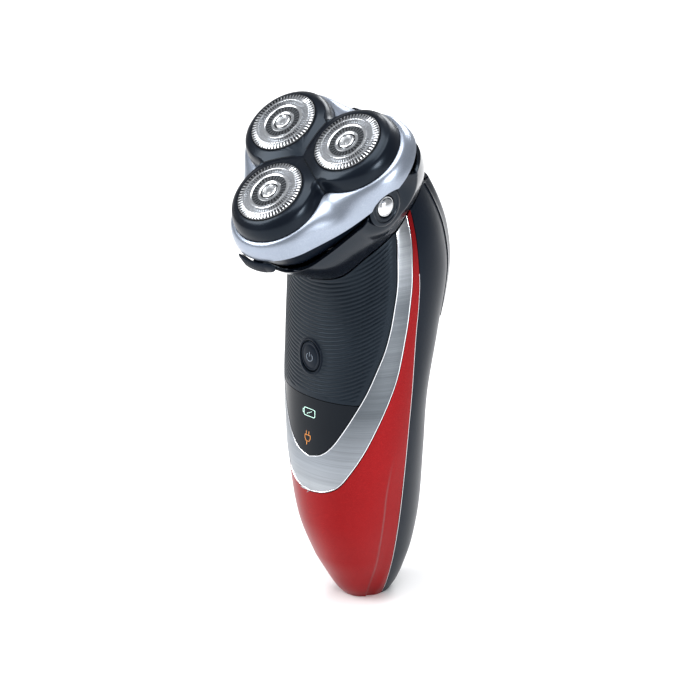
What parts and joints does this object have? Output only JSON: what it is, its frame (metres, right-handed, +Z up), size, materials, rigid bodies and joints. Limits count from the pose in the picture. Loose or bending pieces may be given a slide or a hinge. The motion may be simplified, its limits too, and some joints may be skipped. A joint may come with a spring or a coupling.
{
  "type": "electric shaver",
  "caption": "Cordless rotary shaver: slim upright handle with a ribbed grip, tilting head with round cutters, opening shaving unit and pop-up trimmer.",
  "frame": {"origin": "centre of the flat face under the foot", "axes": "+Z up along the handle from foot to head; the front, with the grip, button and shaving face, looks along -Y; +X is across its width"},
  "size_m": [0.061, 0.0748, 0.1626],
  "materials": {
    "black_gloss": "glossy black",
    "black_satin": "satin black",
    "board_green": "circuit board",
    "brushed_metal": "brushed, with polished edges",
    "cell_wrap": "wrapped cell",
    "gear_plastic": "natural moulded plastic",
    "lamp": "clear lamp",
    "motor_can": "motor can, with its windings averaged",
    "red_lacquer": "metallic red lacquer",
    "rubber_black": "soft black grip, finely ribbed",
    "silver_lacquer": "satin silver lacquer",
    "steel": "bright steel",
    "window_smoke": "smoked window"
  },
  "bodies": {
    "handle": {"grip_panel": "rubber_black", "status_window": "window_smoke", "trim_band": "brushed_metal", "front_shell": "red_lacquer", "rear_cover": "black_satin", "trimmer_housing": "black_gloss", "trimmer_hinge_pin": "steel", "neck_collar": "black_gloss", "pivot_cap_left": "black_gloss", "pivot_cap_right": "black_gloss", "pivot_stud_left": "steel", "pivot_stud_right": "steel", "base_plate": "black_satin", "charging_socket": "black_gloss", "contact_pin_left": "steel", "contact_pin_right": "steel", "inner_frame": "black_satin", "battery_cell_left": "cell_wrap", "battery_cell_right": "cell_wrap", "circuit_board": "board_green", "tact_switch": "steel", "charge_lamp": "lamp", "plug_lamp": "lamp", "motor": "motor_can", "screw_low": "steel", "screw_mid_left": "steel", "screw_mid_right": "steel", "screw_top": "steel"},
    "button": {"power_button": "rubber_black"},
    "head": {"hair_chamber": "black_gloss", "chamber_floor": "gear_plastic", "unit_hinge_pin": "steel"},
    "catch": {"release_catch": "black_satin"},
    "shaving_unit": {"head_frame": "silver_lacquer", "unit_shell": "black_gloss", "retaining_plate": "gear_plastic"},
    "lock": {"lock_wheel": "gear_plastic"},
    "coupling": {"drive_coupling": "gear_plastic"},
    "drive_gear": {"drive_gear": "gear_plastic"},
    "trimmer_lid": {"trimmer_flap": "black_gloss", "trimmer_guard": "steel"},
    "trimmer_blade": {"trimmer_blade": "steel"},
    "trimmer_slide": {"trimmer_slide": "black_satin"},
    "satellite_1": {"satellite_gear_1": "gear_plastic", "drive_spindle_1": "steel"},
    "cutter_1": {"cutter_cap_1": "steel", "cap_disc_1": "steel"},
    "blade_1": {"rotary_blade_1": "steel"},
    "satellite_2": {"satellite_gear_2": "gear_plastic", "drive_spindle_2": "steel"},
    "cutter_2": {"cutter_cap_2": "steel", "cap_disc_2": "steel"},
    "blade_2": {"rotary_blade_2": "steel"},
    "satellite_3": {"satellite_gear_3": "gear_plastic", "drive_spindle_3": "steel"},
    "cutter_3": {"cutter_cap_3": "steel", "cap_disc_3": "steel"},
    "blade_3": {"rotary_blade_3": "steel"}
  },
  "joints": [
    {"name": "power_press", "type": "slide", "parent": "handle", "child": "button", "axis": [0, 1, 0], "range_m": [0, 0.0008], "stiffness_N_per_m": 800, "springref_m": -0.0004},
    {"name": "head_tilt", "type": "hinge", "parent": "handle", "child": "head", "pos_m": [0, -0.01715, 0.13767], "axis": [1, 0, 0], "range_deg": [-2.5, 2.5], "stiffness_Nm_per_rad": 0.8},
    {"name": "catch_press", "type": "slide", "parent": "head", "child": "catch", "axis": [0, 0.7986, 0.6018], "range_m": [0, 0.0012], "stiffness_N_per_m": 500, "springref_m": -0.0004},
    {"name": "unit_open", "type": "hinge", "parent": "head", "child": "shaving_unit", "pos_m": [0, 0.00079, 0.15507], "axis": [-1, 0, 0], "range_deg": [0, 100]},
    {"name": "lock_turn", "type": "hinge", "parent": "shaving_unit", "child": "lock", "pos_m": [0, -0.02164, 0.1428], "axis": [0, -0.6018, 0.7986], "range_deg": [0, 90]},
    {"name": "drive_spin", "type": "hinge", "parent": "head", "child": "drive_gear", "pos_m": [0, -0.01797, 0.13792], "axis": [0, -0.6018, 0.7986], "continuous": true},
    {"name": "coupling_spin", "type": "hinge", "parent": "handle", "child": "coupling", "pos_m": [0, -0.01316, 0.13153], "axis": [0, -0.6018, 0.7986], "continuous": true},
    {"name": "satellite_spin_1", "type": "hinge", "parent": "head", "child": "satellite_1", "pos_m": [0, -0.03027, 0.12865], "axis": [0, -0.6018, 0.7986], "continuous": true},
    {"name": "cutter_float_1", "type": "slide", "parent": "shaving_unit", "child": "cutter_1", "axis": [0, 0.6018, -0.7986], "range_m": [0, 0.0015], "stiffness_N_per_m": 400, "springref_m": -0.0006},
    {"name": "blade_spin_1", "type": "hinge", "parent": "cutter_1", "child": "blade_1", "pos_m": [0, -0.03929, 0.14064], "axis": [0, -0.6018, 0.7986], "continuous": true},
    {"name": "satellite_spin_2", "type": "hinge", "parent": "head", "child": "satellite_2", "pos_m": [0.01334, -0.01182, 0.14256], "axis": [0, -0.6018, 0.7986], "continuous": true},
    {"name": "cutter_float_2", "type": "slide", "parent": "shaving_unit", "child": "cutter_2", "axis": [0, 0.6018, -0.7986], "range_m": [0, 0.0015], "stiffness_N_per_m": 400, "springref_m": -0.0006},
    {"name": "blade_spin_2", "type": "hinge", "parent": "cutter_2", "child": "blade_2", "pos_m": [0.01334, -0.02085, 0.15454], "axis": [0, -0.6018, 0.7986], "continuous": true},
    {"name": "satellite_spin_3", "type": "hinge", "parent": "head", "child": "satellite_3", "pos_m": [-0.01334, -0.01182, 0.14256], "axis": [0, -0.6018, 0.7986], "continuous": true},
    {"name": "cutter_float_3", "type": "slide", "parent": "shaving_unit", "child": "cutter_3", "axis": [0, 0.6018, -0.7986], "range_m": [0, 0.0015], "stiffness_N_per_m": 400, "springref_m": -0.0006},
    {"name": "blade_spin_3", "type": "hinge", "parent": "cutter_3", "child": "blade_3", "pos_m": [-0.01334, -0.02085, 0.15454], "axis": [0, -0.6018, 0.7986], "continuous": true},
    {"name": "trimmer_flip", "type": "hinge", "parent": "handle", "child": "trimmer_lid", "pos_m": [0, 0.01533, 0.1315], "axis": [1, 0, 0], "range_deg": [0, 75]},
    {"name": "trimmer_stroke", "type": "slide", "parent": "trimmer_lid", "child": "trimmer_blade", "axis": [1, 0, 0], "range_m": [-0.0009, 0.0009]},
    {"name": "trimmer_release", "type": "slide", "parent": "handle", "child": "trimmer_slide", "axis": [0, 0.2433, 0.97], "range_m": [0, 0.003]}
  ],
  "couplings": [
    {"joint": "coupling_spin", "follows": "drive_spin", "ratio": 1},
    {"joint": "satellite_spin_1", "follows": "drive_spin", "ratio": -1.5},
    {"joint": "blade_spin_1", "follows": "drive_spin", "ratio": -1.5},
    {"joint": "satellite_spin_2", "follows": "drive_spin", "ratio": -1.5},
    {"joint": "blade_spin_2", "follows": "drive_spin", "ratio": -1.5},
    {"joint": "satellite_spin_3", "follows": "drive_spin", "ratio": -1.5},
    {"joint": "blade_spin_3", "follows": "drive_spin", "ratio": -1.5}
  ]
}
